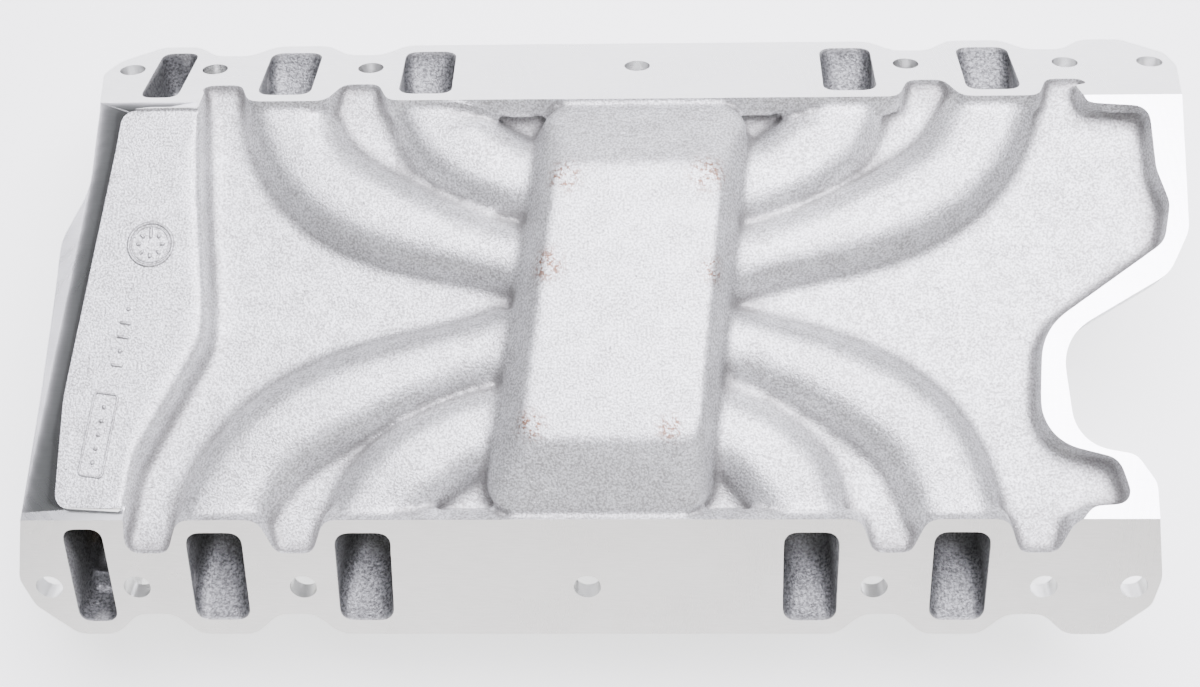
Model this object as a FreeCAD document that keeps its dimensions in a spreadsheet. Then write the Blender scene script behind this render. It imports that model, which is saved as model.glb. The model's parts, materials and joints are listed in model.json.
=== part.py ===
"""V8 intake manifold: one aluminium casting with its thread inserts, hose nipples and pipe plugs.

The manifold lies on its carburettor pad with its underside up, as it is stored and machined.
+X runs from the water crossover at the front to the distributor notch at the rear, +Y to the
left bank, +Z out of the underside. The origin is the centre of the carburettor pad's face.
"""
import FreeCAD, Part
import math
import os

from FreeCAD import Placement, Rotation, Vector

doc = FreeCAD.newDocument("intake_manifold")

# ---------------------------------------------------------------------------------------------
# Driving dimensions, in millimetres
# ---------------------------------------------------------------------------------------------
DIMENSIONS = {
    # engine
    "bore_pitch": 113.3,
    "bank_offset": 19.5,
    "bank_angle": 45.0,
    "row_half_span": 106.05,
    "row_height": 82.2,
    # heights above the carburettor pad
    "rail_height": 105.0,
    "panel_height": 107.2,
    "box_height": 118.2,
    "floor_height": 92.0,
    "floor_thickness": 5.5,
    "wall": 5.0,
    # head flanges
    "flange_thickness": 8.0,
    "flange_low": 23.5,
    "flange_high": 32.2,
    "bolt_hole_radius": 5.2,
    "bolt_inner": 109.2,
    "bolt_middle": 173.5,
    "bolt_outer": 207.6,
    # intake ports and runners
    "port_spread": 28.05,
    "port_width": 21.0,
    "port_length": 42.0,
    "port_centre": 4.0,
    "port_corner": 4.0,
    # water passages
    "water_port_x": 190.75,
    "water_port_width": 15.0,
    "water_port_length": 45.0,
    "water_port_centre": 5.5,
    "crossover_bottom": 48.0,
    "web_width": 10.0,
    "web_low": 92.5,
    "web_high": 98.0,
    "outlet_pad_height": 30.0,
    "outlet_x": 183.0,
    "outlet_y": 5.0,
    "outlet_bore_radius": 19.0,
    "outlet_seat_radius": 27.0,
    "outlet_seat_depth": 5.0,
    "outlet_bolt_half": 37.0,
    # carburettor pad
    "pad_length": 150.0,
    "pad_width": 162.0,
    "pad_thickness": 16.0,
    "pad_corner": 12.0,
    "carb_bore_radius": 21.5,
    "carb_bore_x": 24.5,
    "carb_bore_y": 26.0,
    "carb_stud_x": 65.55,
    "carb_stud_y": 71.45,
    # threads and fittings
    "insert_outer": 5.3,
    "insert_inner": 4.0,
    "insert_length": 14.0,
    "nipple_hole": 9.5,
    "sender_hole": 8.5,
    "vacuum_hole": 8.0,
    "runner_tap_hole": 5.5,
    "thread_gap": 0.05,
}

sheet = doc.addObject("Spreadsheet::Sheet", "Dimensions")
for row, (name, value) in enumerate(DIMENSIONS.items(), start=1):
    sheet.set(f"A{row}", name)
    sheet.set(f"B{row}", str(value))
    sheet.setAlias(f"B{row}", name)
doc.recompute()


def dim(name):
    """The value of one named cell of the sheet."""
    return float(sheet.get(name))


def bind(obj, **expressions):
    """Tie an object's properties to cells of the sheet: bind(box, Length="$pad_length")."""
    for prop, expression in expressions.items():
        obj.setExpression(prop, expression.replace("$", "Dimensions."))
    return obj


# ---------------------------------------------------------------------------------------------
# Outlines and solids
# ---------------------------------------------------------------------------------------------
def rounded_edges(points):
    """Edges of a closed outline. A point is (x, y) for a sharp corner or (x, y, radius)."""
    corners = []
    for index, point in enumerate(points):
        here = Vector(point[0], point[1], 0)
        radius = point[2] if len(point) > 2 else 0.0
        before = Vector(*points[index - 1][:2], 0) - here
        after = Vector(*points[(index + 1) % len(points)][:2], 0) - here
        if not radius:
            corners.append((here, None, here))
            continue
        half = before.getAngle(after) / 2
        reach = radius / math.tan(half)
        start = here + before.normalize() * reach
        end = here + after.normalize() * reach
        middle_way = (before + after).normalize()
        middle = here + middle_way * (radius / math.sin(half) - radius)
        corners.append((start, middle, end))
    edges = []
    for index, (start, middle, end) in enumerate(corners):
        if middle is not None:
            edges.append(Part.Arc(start, middle, end))
        next_start = corners[(index + 1) % len(corners)][0]
        if (next_start - end).Length > 1e-6:
            edges.append(Part.LineSegment(end, next_start))
    return edges


def sketch(name, points, placement=None):
    """A sketch of one closed outline."""
    drawn = doc.addObject("Sketcher::SketchObject", name)
    drawn.addGeometry(rounded_edges(points), False)
    if placement is not None:
        drawn.Placement = placement
    return drawn


def extrude(name, points, placement, length, direction=(0, 0, 1)):
    """A prism of an outline; length is an expression on the sheet's cells."""
    prism = doc.addObject("Part::Extrusion", name)
    prism.Base = sketch(name + "_outline", points, placement)
    prism.DirMode = "Custom"
    prism.Dir = placement.Rotation.multVec(Vector(*direction))
    prism.Solid = True
    return bind(prism, LengthFwd=length)


def slab(name, points, low, high):
    """A prism of a plan outline from one height to another; both are numbers."""
    prism = doc.addObject("Part::Extrusion", name)
    prism.Base = sketch(name + "_outline", points, Placement(Vector(0, 0, low), Rotation()))
    prism.DirMode = "Custom"
    prism.Dir = Vector(0, 0, 1)
    prism.LengthFwd = high - low
    prism.Solid = True
    return prism


def loft(name, sections, ruled):
    """A solid through outlines: sections is a list of (points, placement)."""
    solid = doc.addObject("Part::Loft", name)
    solid.Sections = [sketch(f"{name}_section_{number}", points, placement)
                      for number, (points, placement) in enumerate(sections)]
    solid.Solid = True
    solid.Ruled = ruled
    return solid


def cylinder(name, radius, length, base, axis=(0, 0, 1)):
    """A cylinder; radius and length are expressions on the sheet's cells, or numbers."""
    drum = doc.addObject("Part::Cylinder", name)
    drum.Placement = Placement(Vector(*base), Rotation(Vector(0, 0, 1), Vector(*axis)))
    for prop, size in (("Radius", radius), ("Height", length)):
        if isinstance(size, str):
            bind(drum, **{prop: size})
        else:
            setattr(drum, prop, size)
    return drum


def rectangle(width, height, radius, centre=(0.0, 0.0)):
    """A rounded rectangle's corners, anticlockwise from the lower left."""
    x, y = centre
    return [(x + a * width / 2, y + b * height / 2, radius)
            for a, b in ((-1, -1), (1, -1), (1, 1), (-1, 1))]


def mirrored_pairs(values):
    """Each value with both signs."""
    return [sign * value for value in values for sign in (-1, 1)]


# ---------------------------------------------------------------------------------------------
# Head flanges: drawn in each bank's own plane, x along the engine and up towards the valley
# ---------------------------------------------------------------------------------------------
BANKS = {"right": -1, "left": 1}

OUTER_SCALLOPS = (-168.2, -113.2, 112.6, 167.6)
INNER_SCALLOPS = (-166.4, -111.0, 115.0, 169.8)


def bank_placement(side, lift=0.0):
    """The flange plane of a bank, lifted along its outward normal."""
    tilt = Rotation(Vector(1, 0, 0), -side * dim("bank_angle"))
    foot = Vector(side * dim("bank_offset") / 2, side * dim("row_half_span"), dim("row_height"))
    return Placement(foot + tilt.multVec(Vector(0, 0, lift)), tilt)


def on_bank(side, points):
    """Points given as (x, up, radius) in a bank's plane, as that bank's sketch wants them."""
    turned = [(point[0], -side * point[1], *point[2:]) for point in points]
    return turned if side < 0 else turned[::-1]


def flange_outline():
    """The scalloped outline of a flange, anticlockwise from its front lower end."""
    low, high = -dim("flange_low"), dim("flange_high")
    outline = [(-218.6, 4.0, 8.0), (-214.5, -9.0, 6.0), (-199.8, low, 6.0)]
    for centre in OUTER_SCALLOPS:
        outline += [(centre - 16.5, low, 8.0), (centre - 7.0, low + 10.0, 8.0),
                    (centre + 7.0, low + 10.0, 8.0), (centre + 16.5, low, 8.0)]
    outline += [(200.5, low, 6.0), (215.5, -9.0, 6.0), (217.6, 4.0, 8.0), (212.8, high)]
    for centre in reversed(INNER_SCALLOPS):
        outline += [(centre + 12.5, high, 6.0), (centre + 7.0, high - 15.8, 4.0),
                    (centre - 7.0, high - 15.8, 4.0), (centre - 12.5, high, 6.0)]
    outline.append((-213.0, high))
    return outline


def flange(bank, side):
    """The flange plate of a bank, its face on the bank's plane."""
    return extrude(f"{bank}_flange", on_bank(side, flange_outline()), bank_placement(side),
                   "$flange_thickness", direction=(0, 0, -1))


def beyond_flange(bank, side, lift, depth, name):
    """A block that covers all that lies above a bank's plane, lifted by lift."""
    placement = bank_placement(side, lift)
    return extrude(f"{bank}_{name}", rectangle(520.0, 240.0, 0), placement, depth)


# ---------------------------------------------------------------------------------------------
# Runners: each one bends out of its flange and runs level to the plenum
# ---------------------------------------------------------------------------------------------
RUNNERS = {
    # name: (bank side, port's place along the bank, plan point at the plenum)
    "right_front": (-1, (-1, -1), (-38.0, -14.0)),
    "right_front_inner": (-1, (-1, 1), (-36.0, -44.0)),
    "right_rear_inner": (-1, (1, -1), (31.0, -45.0)),
    "right_rear": (-1, (1, 1), (37.0, -12.0)),
    "left_front": (1, (-1, -1), (-30.0, 19.0)),
    "left_front_inner": (1, (-1, 1), (-20.0, 50.0)),
    "left_rear_inner": (1, (1, -1), (42.0, 48.0)),
    "left_rear": (1, (1, 1), (42.0, 18.0)),
}

# share of the way, tilt of the section, height of its middle, outer and inner width, outer and
# inner height
STATIONS = (
    (0.25, 22.0, 80.8, 37.0, 22.0, 49.0, 40.0),
    (0.45, 6.0, 80.2, 37.0, 23.0, 48.0, 39.0),
    (0.70, 0.0, 80.0, 35.0, 25.0, 48.0, 39.0),
    (1.00, 0.0, 80.0, 34.0, 26.0, 48.0, 39.0),
)


def port_place(group, member):
    """Where a port's middle lies along its bank."""
    return group * dim("bore_pitch") + member * dim("port_spread")


def runner_plan(side, group, member, end):
    """The four control points of a runner's plan curve."""
    start = Vector(port_place(group, member) + side * dim("bank_offset") / 2, side * 100.0, 0)
    finish = Vector(*end, 0)
    outer = group == member
    inward, along = (55.0, 72.0) if outer else (36.0, 28.0)
    slope = 0.27 if outer else 0.20
    return (start, start + Vector(-group * 5.0, -side * inward, 0),
            finish + Vector(group * along, side * along * slope, 0), finish)


def on_curve(points, share):
    """The point and the direction of a cubic curve."""
    rest = 1 - share
    weights = (rest ** 3, 3 * rest ** 2 * share, 3 * rest * share ** 2, share ** 3)
    place = sum((point * weight for point, weight in zip(points, weights)), Vector())
    slopes = (rest ** 2, 2 * rest * share, share ** 2)
    steps = [after - before for before, after in zip(points, points[1:])]
    heading = sum((step * slope for step, slope in zip(steps, slopes)), Vector())
    return place, heading.normalize()


def station_placement(side, place, heading, tilt, height):
    """A section's plane: x across the runner, y up the runner, z back to the flange."""
    angle = math.radians(tilt)
    flow = heading * math.cos(angle) - Vector(0, 0, math.sin(angle))
    up = heading * math.sin(angle) + Vector(0, 0, math.cos(angle))
    y_axis = up * -side
    z_axis = flow * -1
    turn = Rotation(y_axis.cross(z_axis), y_axis, z_axis, "XYZ")
    return Placement(Vector(place.x, place.y, height), turn)


def runner_sections(side, group, member, end, core):
    """The sections of a runner's outside, or of its core."""
    port_x = port_place(group, member)
    centre = dim("port_centre")
    lift = 1.0 if core else -1.0
    margin = 0.0 if core else 2 * dim("wall")
    width, length = dim("port_width") + margin, dim("port_length") + margin
    radius = dim("port_corner") if core else 10.0
    mouth = rectangle(width, length, radius, (port_x, centre))
    sections = [(on_bank(side, mouth), bank_placement(side, lift))]
    plan = runner_plan(side, group, member, end)
    for share, tilt, height, outer_w, inner_w, outer_h, inner_h in STATIONS:
        place, heading = on_curve(plan, share)
        size = (inner_w, inner_h, 9.0) if core else (outer_w, outer_h, 14.0)
        outline = on_bank(side, rectangle(*size))
        sections.append((outline, station_placement(side, place, heading, tilt, height)))
    return sections


def runner(name, core):
    """A runner's outside or its core, as a smooth loft."""
    side, (group, member), end = RUNNERS[name]
    kind = "core" if core else "runner"
    return loft(f"{name}_{kind}", runner_sections(side, group, member, end, core), ruled=False)


# ---------------------------------------------------------------------------------------------
# Plenum, floor, rails and water crossover
# ---------------------------------------------------------------------------------------------
def at_height(height):
    """A level plane."""
    return Placement(Vector(0, 0, height), Rotation())


def plenum():
    """The plenum's outside: from under the pad to the box that stands out of the underside."""
    return loft("plenum", [
        (rectangle(114.0, 122.0, 10.0), at_height(10.0)),
        ([(-48.0, -80.0, 10.0), (35.0, -80.0, 10.0), (54.0, 80.0, 10.0), (-26.0, 80.0, 10.0)],
         at_height(dim("rail_height"))),
        ([(-34.4, -55.0, 10.0), (33.4, -55.0, 10.0), (43.0, 52.0, 10.0), (-22.3, 52.0, 10.0)],
         at_height(dim("box_height"))),
    ], ruled=True)


def plenum_core():
    """The hollow of the plenum."""
    return loft("plenum_core", [
        (rectangle(102.0, 110.0, 8.0), at_height(dim("pad_thickness") - 2.0)),
        ([(-41.0, -70.0, 8.0), (28.5, -70.0, 8.0), (46.0, 70.0, 8.0), (-20.0, 70.0, 8.0)],
         at_height(100.0)),
        ([(-30.0, -50.0, 8.0), (28.5, -50.0, 8.0), (37.0, 47.0, 8.0), (-17.0, 47.0, 8.0)],
         at_height(dim("box_height") - dim("wall"))),
    ], ruled=True)


FRONT_EDGE = [(-202.6, 90.0), (-205.0, 47.0, 30.0), (-214.8, 26.0, 20.0), (-215.8, 4.0, 20.0),
              (-218.6, -37.0, 40.0), (-223.4, -90.0)]
NOTCH_EDGE = [(203.1, -90.0), (203.1, -70.0, 6.0), (196.0, -59.0, 6.0), (174.0, -55.0, 16.0),
              (170.5, -14.0, 20.0), (213.0, 11.0, 14.0), (221.5, 28.0, 10.0), (222.8, 90.0)]
POCKET_WALL = [(183.0, 90.0), (185.0, 80.2, 4.0), (209.6, 78.5, 6.0), (210.6, 53.0, 8.0),
               (215.0, 39.0, 8.0), (212.0, 23.5, 8.0), (163.5, -11.0, 24.0),
               (160.5, -53.0, 18.0), (189.5, -60.5, 7.0), (194.5, -77.6, 5.0),
               (178.5, -78.4, 5.0), (171.5, -90.0)]
PANEL_EDGE = [(-163.6, 90.0), (-160.6, 42.0, 60.0), (-155.6, -10.0, 24.0), (-180.0, -57.0, 30.0),
              (-185.0, -90.0)]


def floor():
    """The sheet that closes the valley between the runners, a little inside the rails' edge."""
    top = dim("floor_height")
    outline = [(x, math.copysign(99.0, y) if abs(y) == 90.0 else y, *radius)
               for x, y, *radius in NOTCH_EDGE + FRONT_EDGE]
    foot = at_height(top - dim("floor_thickness"))
    inset = doc.addObject("Part::Offset2D", "floor_inset")
    inset.Source = sketch("floor_outline", outline, foot)
    inset.Value = -2.0
    deck = doc.addObject("Part::Extrusion", "floor")
    deck.Base = inset
    deck.DirMode = "Custom"
    deck.Dir = Vector(0, 0, 1)
    deck.Solid = True
    return bind(deck, LengthFwd="$floor_thickness")


def rear_rail():
    """The rear end rail, which follows the distributor notch round the pocket."""
    low = dim("floor_height") - dim("floor_thickness") / 2
    return slab("rear_rail", NOTCH_EDGE + POCKET_WALL, low, dim("rail_height"))


def front_rail():
    """The front end rail, with the roof of the water crossover behind it."""
    low = dim("floor_height") - dim("floor_thickness") / 2
    return slab("front_rail", FRONT_EDGE + PANEL_EDGE[::-1], low, dim("rail_height"))


def panel():
    """The raised face of the water crossover, a little inside the rail's rear edge."""
    front = [(-182.0, 80.0, 4.0), (-193.2, 78.0, 6.0), (-195.0, 62.0, 30.0), (-208.9, -37.0, 60.0),
             (-209.6, -79.0, 6.0), (-184.0, -80.5, 2.0)]
    rear = [(-180.3, -57.0, 30.0), (-155.9, -10.0, 24.0), (-160.9, 42.0, 60.0), (-163.4, 80.0, 2.0)]
    return slab("panel", front + rear, dim("rail_height") - 3.0, dim("panel_height"))


VALLEY_WEBS = {"right_front": ((-100.0, -53.0), (-48.0, -27.0)),
               "left_front": ((-84.0, 56.0), (-47.0, 36.5)),
               "right_rear": ((86.0, -54.0), (42.0, -29.5)),
               "left_rear": ((100.0, 55.0), (52.0, 35.5))}


def valley_web(name, start, end):
    """A web that fills the crease between two runners and rises towards the plenum."""
    way = Vector(*end, 0) - Vector(*start, 0)
    length, up = way.Length, Vector(0, 0, 1)
    along = way / length
    across = along.cross(up)
    plane = Placement(Vector(*start, 0) - across * dim("web_width") / 2,
                      Rotation(along, up, across, "XYZ"))
    foot = dim("floor_height") - dim("floor_thickness") / 2
    profile = [(0.0, foot), (length, foot), (length, dim("web_high")), (0.0, dim("web_low"))]
    return extrude(name + "_web", profile, plane, "$web_width")


def water_neck(bank, side):
    """The neck that carries the lower end of a water port into the crossover."""
    outline = rectangle(22.0, 29.5, 4.0, (-dim("water_port_x"), -6.75))
    return extrude(f"{bank}_water_neck", on_bank(side, outline), bank_placement(side, -1.0),
                   "$flange_thickness * 3", direction=(0, 0, -1))


CROSSOVER = [(-211.6, -103.0), (-211.0, -40.0, 60.0), (-199.0, 60.0, 30.0), (-192.2, 85.0, 20.0),
             (-192.2, 103.0), (-169.8, 103.0), (-169.8, 82.0, 10.0), (-158.4, 21.0, 60.0),
             (-156.0, -14.0, 24.0), (-181.6, -64.0, 30.0), (-189.4, -87.0, 20.0),
             (-189.4, -103.0)]
CROSSOVER_CORE = [(-207.8, -97.0), (-206.0, -40.0, 60.0), (-194.0, 60.0, 30.0),
                  (-188.0, 84.0, 20.0), (-188.0, 97.0), (-174.0, 97.0), (-174.0, 82.0, 10.0),
                  (-163.5, 21.0, 60.0), (-161.5, -14.0, 20.0), (-187.0, -66.0, 30.0),
                  (-193.2, -87.0, 20.0), (-193.2, -97.0)]


def crossover():
    """The outside of the water crossover between the two banks."""
    return slab("crossover", CROSSOVER, dim("crossover_bottom"), dim("rail_height") - 1.0)


def crossover_core():
    """The hollow of the crossover, kept behind both flanges."""
    hollow = slab("crossover_hollow", CROSSOVER_CORE, dim("crossover_bottom") + dim("wall") + 1.0,
                  dim("rail_height") - dim("wall") - 2.0)
    for bank, side in BANKS.items():
        kept = doc.addObject("Part::Cut", f"crossover_hollow_behind_{bank}")
        kept.Base = hollow
        kept.Tool = beyond_flange(bank, side, -dim("flange_thickness"), "$row_half_span", "land")
        hollow = kept
    return hollow


# ---------------------------------------------------------------------------------------------
# Bosses on the carburettor side, and the holes in them
# ---------------------------------------------------------------------------------------------
OUTLET = (-dim("outlet_x"), dim("outlet_y"))
OUTLET_PAD_RADIUS = 32.0
OUTLET_EAR = 9.5
BYPASS = (-187.0, -56.5)
SENDER = (-199.8, -78.0)
HEATER = (-181.0, 67.0)
NIPPLE_BOSS = 14.5
SENDER_BOSS = 11.2
RUNNER_TAPS = {"right": (95.0, -35.5), "left": (-86.0, 34.5)}
RUNNER_BOSS = 9.5
RUNNER_BOSS_FACE = 48.0
VACUUM_HEIGHT = 36.0
VACUUM_BOSS = 12.5
VACUUM_BOSS_FACE = 66.0
BOSS_DROP = 9.0
NIPPLE_REACH = 34.0


def crossover_boss(name, place, radius):
    """A round boss under the crossover."""
    low = dim("crossover_bottom") - BOSS_DROP
    return cylinder(name, radius, BOSS_DROP + 4.0, (*place, low))


def crossover_tap(name, place, radius):
    """A tapped hole through a boss into the crossover."""
    low = dim("crossover_bottom") - BOSS_DROP - 1.0
    return cylinder(name, radius, BOSS_DROP + 12.0, (*place, low))


def outlet_bolts():
    """The plan places of the two water outlet bolts."""
    return [(OUTLET[0], OUTLET[1] + sign * dim("outlet_bolt_half")) for sign in (-1, 1)]


def outlet_pad():
    """The pad of the water outlet, an oval with an ear at each bolt."""
    height = dim("outlet_pad_height")
    ears = rectangle(2 * OUTLET_EAR + 1.0, 2 * (dim("outlet_bolt_half") + OUTLET_EAR), OUTLET_EAR,
                     OUTLET)
    return [cylinder("outlet_pad", OUTLET_PAD_RADIUS,
                     "$crossover_bottom - $outlet_pad_height + 3",
                     (*OUTLET, height)),
            slab("outlet_ears", ears, height, dim("crossover_bottom") + 3.0)]


def carb_studs():
    """The plan places of the carburettor studs."""
    return [(x, y) for x in mirrored_pairs([dim("carb_stud_x")])
            for y in mirrored_pairs([dim("carb_stud_y")])]


def vacuum_boss():
    """The boss of the vacuum take-off on the plenum's rear wall."""
    depth = 18.0
    return cylinder("vacuum_boss", VACUUM_BOSS, depth,
                    (VACUUM_BOSS_FACE - depth, 0.0, VACUUM_HEIGHT), (1, 0, 0))


def plates():
    """The flanges, the floor, both end rails and the water crossover with its necks."""
    return ([flange(bank, side) for bank, side in BANKS.items()]
            + [floor(), rear_rail(), front_rail(), panel(), crossover()]
            + [water_neck(bank, side) for bank, side in BANKS.items()])


def carburettor_side():
    """The plenum, its pad, the water outlet and every boss."""
    pad = rectangle(dim("pad_length"), dim("pad_width"), dim("pad_corner"))
    bosses = [crossover_boss("bypass_boss", BYPASS, NIPPLE_BOSS),
              crossover_boss("sender_boss", SENDER, SENDER_BOSS),
              crossover_boss("heater_boss", HEATER, NIPPLE_BOSS), vacuum_boss()]
    bosses += [cylinder(f"{bank}_tap_boss", RUNNER_BOSS, 14.0, (*place, RUNNER_BOSS_FACE))
               for bank, place in RUNNER_TAPS.items()]
    return ([plenum(), extrude("carb_pad", pad, at_height(0), "$pad_thickness")]
            + outlet_pad() + bosses)


def water_port(bank, side):
    """The water passage through a flange into the crossover."""
    outline = rectangle(dim("water_port_width"), dim("water_port_length"), dim("port_corner"),
                        (-dim("water_port_x"), dim("water_port_centre")))
    return extrude(f"{bank}_water_port", on_bank(side, outline), bank_placement(side, 1.0),
                   "$flange_thickness * 2.6", direction=(0, 0, -1))


def flange_bolts(bank, side):
    """The bolt holes of a flange."""
    places = [0.0] + mirrored_pairs([dim("bolt_inner"), dim("bolt_middle"), dim("bolt_outer")])
    placement = bank_placement(side, -dim("flange_thickness") * 1.5)
    normal = placement.Rotation.multVec(Vector(0, 0, 1))
    return [cylinder(f"{bank}_bolt_{number}", "$bolt_hole_radius", "$flange_thickness * 2",
                     placement.multVec(Vector(x, 0, 0)), normal)
            for number, x in enumerate(sorted(places))]


def cores():
    """The sand cores: plenum, crossover and the eight runners."""
    return [plenum_core(), crossover_core()] + [runner(name, core=True) for name in RUNNERS]


def flange_cuts(bank, side):
    """The water port, the bolt holes and the milled face of a flange."""
    return ([water_port(bank, side)] + flange_bolts(bank, side)
            + [beyond_flange(bank, side, 0.0, "$row_half_span", "face_cut")])


def carb_cuts():
    """The bores and the stud holes of the carburettor pad."""
    bores = [(x, y) for x in mirrored_pairs([dim("carb_bore_x")])
             for y in mirrored_pairs([dim("carb_bore_y")])]
    return ([cylinder(f"carb_bore_{number}", "$carb_bore_radius", "$pad_thickness + 4",
                      (*place, -1.0)) for number, place in enumerate(bores)]
            + [cylinder(f"carb_stud_{number}", "$insert_outer + $thread_gap",
                        "$pad_thickness + 2", (*place, -1.0))
               for number, place in enumerate(carb_studs())])


def outlet_cuts():
    """The seat, the bore and the bolt holes of the water outlet."""
    low = dim("outlet_pad_height") - 1.0
    return ([cylinder("outlet_seat", "$outlet_seat_radius", "$outlet_seat_depth + 1",
                      (*OUTLET, low)),
             cylinder("outlet_bore", "$outlet_bore_radius", 34.0, (*OUTLET, low))]
            + [cylinder(f"outlet_bolt_{number}", "$insert_outer + $thread_gap",
                        "$insert_length + 3", (*place, low))
               for number, place in enumerate(outlet_bolts())])


def taps():
    """The tapped holes of the nipples and plugs."""
    return ([crossover_tap("bypass_tap", BYPASS, "$nipple_hole"),
             crossover_tap("sender_tap", SENDER, "$sender_hole"),
             crossover_tap("heater_tap", HEATER, "$nipple_hole"),
             cylinder("vacuum_tap", "$vacuum_hole", 28.0,
                      (VACUUM_BOSS_FACE - 26.0, 0.0, VACUUM_HEIGHT), (1, 0, 0))]
            + [cylinder(f"{bank}_runner_tap", "$runner_tap_hole", 18.0,
                        (*place, RUNNER_BOSS_FACE - 1.0))
               for bank, place in RUNNER_TAPS.items()])


def joined(name, parts):
    """The fusion of several solids."""
    fusion = doc.addObject("Part::MultiFuse", name)
    fusion.Shapes = parts
    return fusion


def without(name, base, tools):
    """A solid less several others."""
    result = doc.addObject("Part::Cut", name)
    result.Base = base
    result.Tool = joined(name + "_tools", tools)
    return result


def casting():
    """The whole manifold casting: fused, cored and machined in stages."""
    solid = joined("plates", plates())
    solid = joined("cast_body", [solid] + carburettor_side())
    solid = joined("casting_blank", [solid] + [runner(name, core=False) for name in RUNNERS]
                   + [valley_web(name, *ends) for name, ends in VALLEY_WEBS.items()])
    cored = without("cored_casting", solid, cores())
    machining = carb_cuts() + outlet_cuts() + taps()
    for bank, side in BANKS.items():
        machining += flange_cuts(bank, side)
    body = without("casting", cored, machining)
    body.Label = "manifold_casting"
    return body


# ---------------------------------------------------------------------------------------------
# Fittings: turned about their own axis from their outer end, at z = 0, inwards
# ---------------------------------------------------------------------------------------------
def revolved(name, profile, places, axis=(0, 0, 1)):
    """A turned piece, or a group of them: a profile of (radius, height), then its places."""
    copies = []
    for number, place in enumerate(places):
        body = doc.addObject("PartDesign::Body", f"{name}_body_{number}")
        plane = next(item for item in body.Origin.OriginFeatures if item.Role == "XZ_Plane")
        drawn = body.newObject("Sketcher::SketchObject", f"{name}_profile_{number}")
        drawn.AttachmentSupport = [(plane, "")]
        drawn.MapMode = "FlatFace"
        drawn.addGeometry(rounded_edges(profile), False)
        turned = body.newObject("PartDesign::Revolution", f"{name}_turned_{number}")
        turned.Profile = drawn
        turned.ReferenceAxis = (drawn, ["V_Axis"])
        turned.Angle = 360.0
        body.Placement = Placement(Vector(*place), Rotation(Vector(0, 0, 1), Vector(*axis)))
        copies.append(body)
    if len(copies) == 1:
        copies[0].Label = name
        return copies[0]
    group = doc.addObject("Part::Compound", name + "_group")
    group.Links = copies
    group.Label = name
    return group


def insert_profile():
    """A thread insert: a short sleeve."""
    inner, outer, length = dim("insert_inner"), dim("insert_outer"), dim("insert_length")
    return [(inner, 0.0), (outer, 0.0), (outer, length), (inner, length)]


def nipple_profile(hole, bore, tube, reach):
    """A hose nipple: threaded end in its boss, a collar against it and a beaded tube."""
    shank = hole - dim("thread_gap")
    return [(bore, 0.0), (tube, 0.0), (tube + 0.9, 2.0, 0.8), (tube, 4.5), (tube, reach - 6.0),
            (shank + 3.0, reach - 6.0), (shank + 3.0, reach), (shank, reach),
            (shank, reach + BOSS_DROP + 4.0), (bore, reach + BOSS_DROP + 4.0)]


def plug_profile(hole, head, depth, length):
    """A pipe plug with a round socket in its head."""
    shank = hole - dim("thread_gap")
    return [(0.0, depth), (head * 0.45, depth), (head * 0.45, 0.0), (head, 0.0), (head, depth),
            (shank, depth), (shank, depth + length), (0.0, depth + length)]


def fittings():
    """Every piece that is screwed into the casting."""
    boss_face = dim("crossover_bottom") - BOSS_DROP
    pieces = [
        revolved("carb_thread_inserts", insert_profile(), [(*p, 1.0) for p in carb_studs()]),
        revolved("outlet_thread_inserts", insert_profile(),
                 [(*p, dim("outlet_pad_height") + 1.0) for p in outlet_bolts()]),
        revolved("bypass_hose_nipple", nipple_profile(dim("nipple_hole"), 7.0, 9.0, NIPPLE_REACH),
                 [(*BYPASS, boss_face - NIPPLE_REACH)]),
        revolved("heater_hose_nipple",
                 nipple_profile(dim("nipple_hole"), 6.0, 8.0, NIPPLE_REACH - 4.0),
                 [(*HEATER, boss_face - NIPPLE_REACH + 4.0)]),
        revolved("temperature_sender_plug", plug_profile(dim("sender_hole"), 10.5, 5.0, 11.0),
                 [(*SENDER, boss_face - 5.0)]),
        revolved("plenum_vacuum_plug", plug_profile(dim("vacuum_hole"), 10.0, 5.0, 12.0),
                 [(VACUUM_BOSS_FACE + 5.0, 0.0, VACUUM_HEIGHT)], axis=(-1, 0, 0)),
        revolved("runner_vacuum_plugs", plug_profile(dim("runner_tap_hole"), 7.5, 4.0, 9.0),
                 [(*place, RUNNER_BOSS_FACE - 4.0) for place in RUNNER_TAPS.values()]),
    ]
    return pieces


def main():
    """Build every piece, check it and write its STEP file."""
    pieces = [casting()] + fittings()
    doc.recompute()
    failed = [obj.Name for obj in doc.Objects if {"Invalid", "Error"} & set(obj.State)]
    if failed:
        raise RuntimeError(f"these objects failed: {failed}")
    os.makedirs("parts", exist_ok=True)
    for piece in pieces:
        shape = piece.Shape
        if shape.isNull() or not shape.isValid():
            raise RuntimeError(f"{piece.Label} has no valid shape")
        print(f"{piece.Label}: {len(shape.Solids)} solids, {shape.Volume / 1000:.1f} cm3, "
              f"{shape.BoundBox}")
        shape.exportStep(f"parts/{piece.Label}.step")


main()
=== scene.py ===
"""Intake manifold: the sand-cast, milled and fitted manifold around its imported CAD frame.

The casting is made in the order of the real one. Its CAD shape is given machining stock on
every milled face and has its drilled holes filled, so that it is a rough blank. The blank is
remeshed and smoothed, which rounds it like a sand casting, then milled and drilled back to the
sizes in the record. Lengths are metres.
"""
import json
import logging
import math
from dataclasses import dataclass, field
from enum import Enum
from typing import Iterable, Sequence

import bpy
import numpy as np
from mathutils import Matrix, Vector


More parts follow.
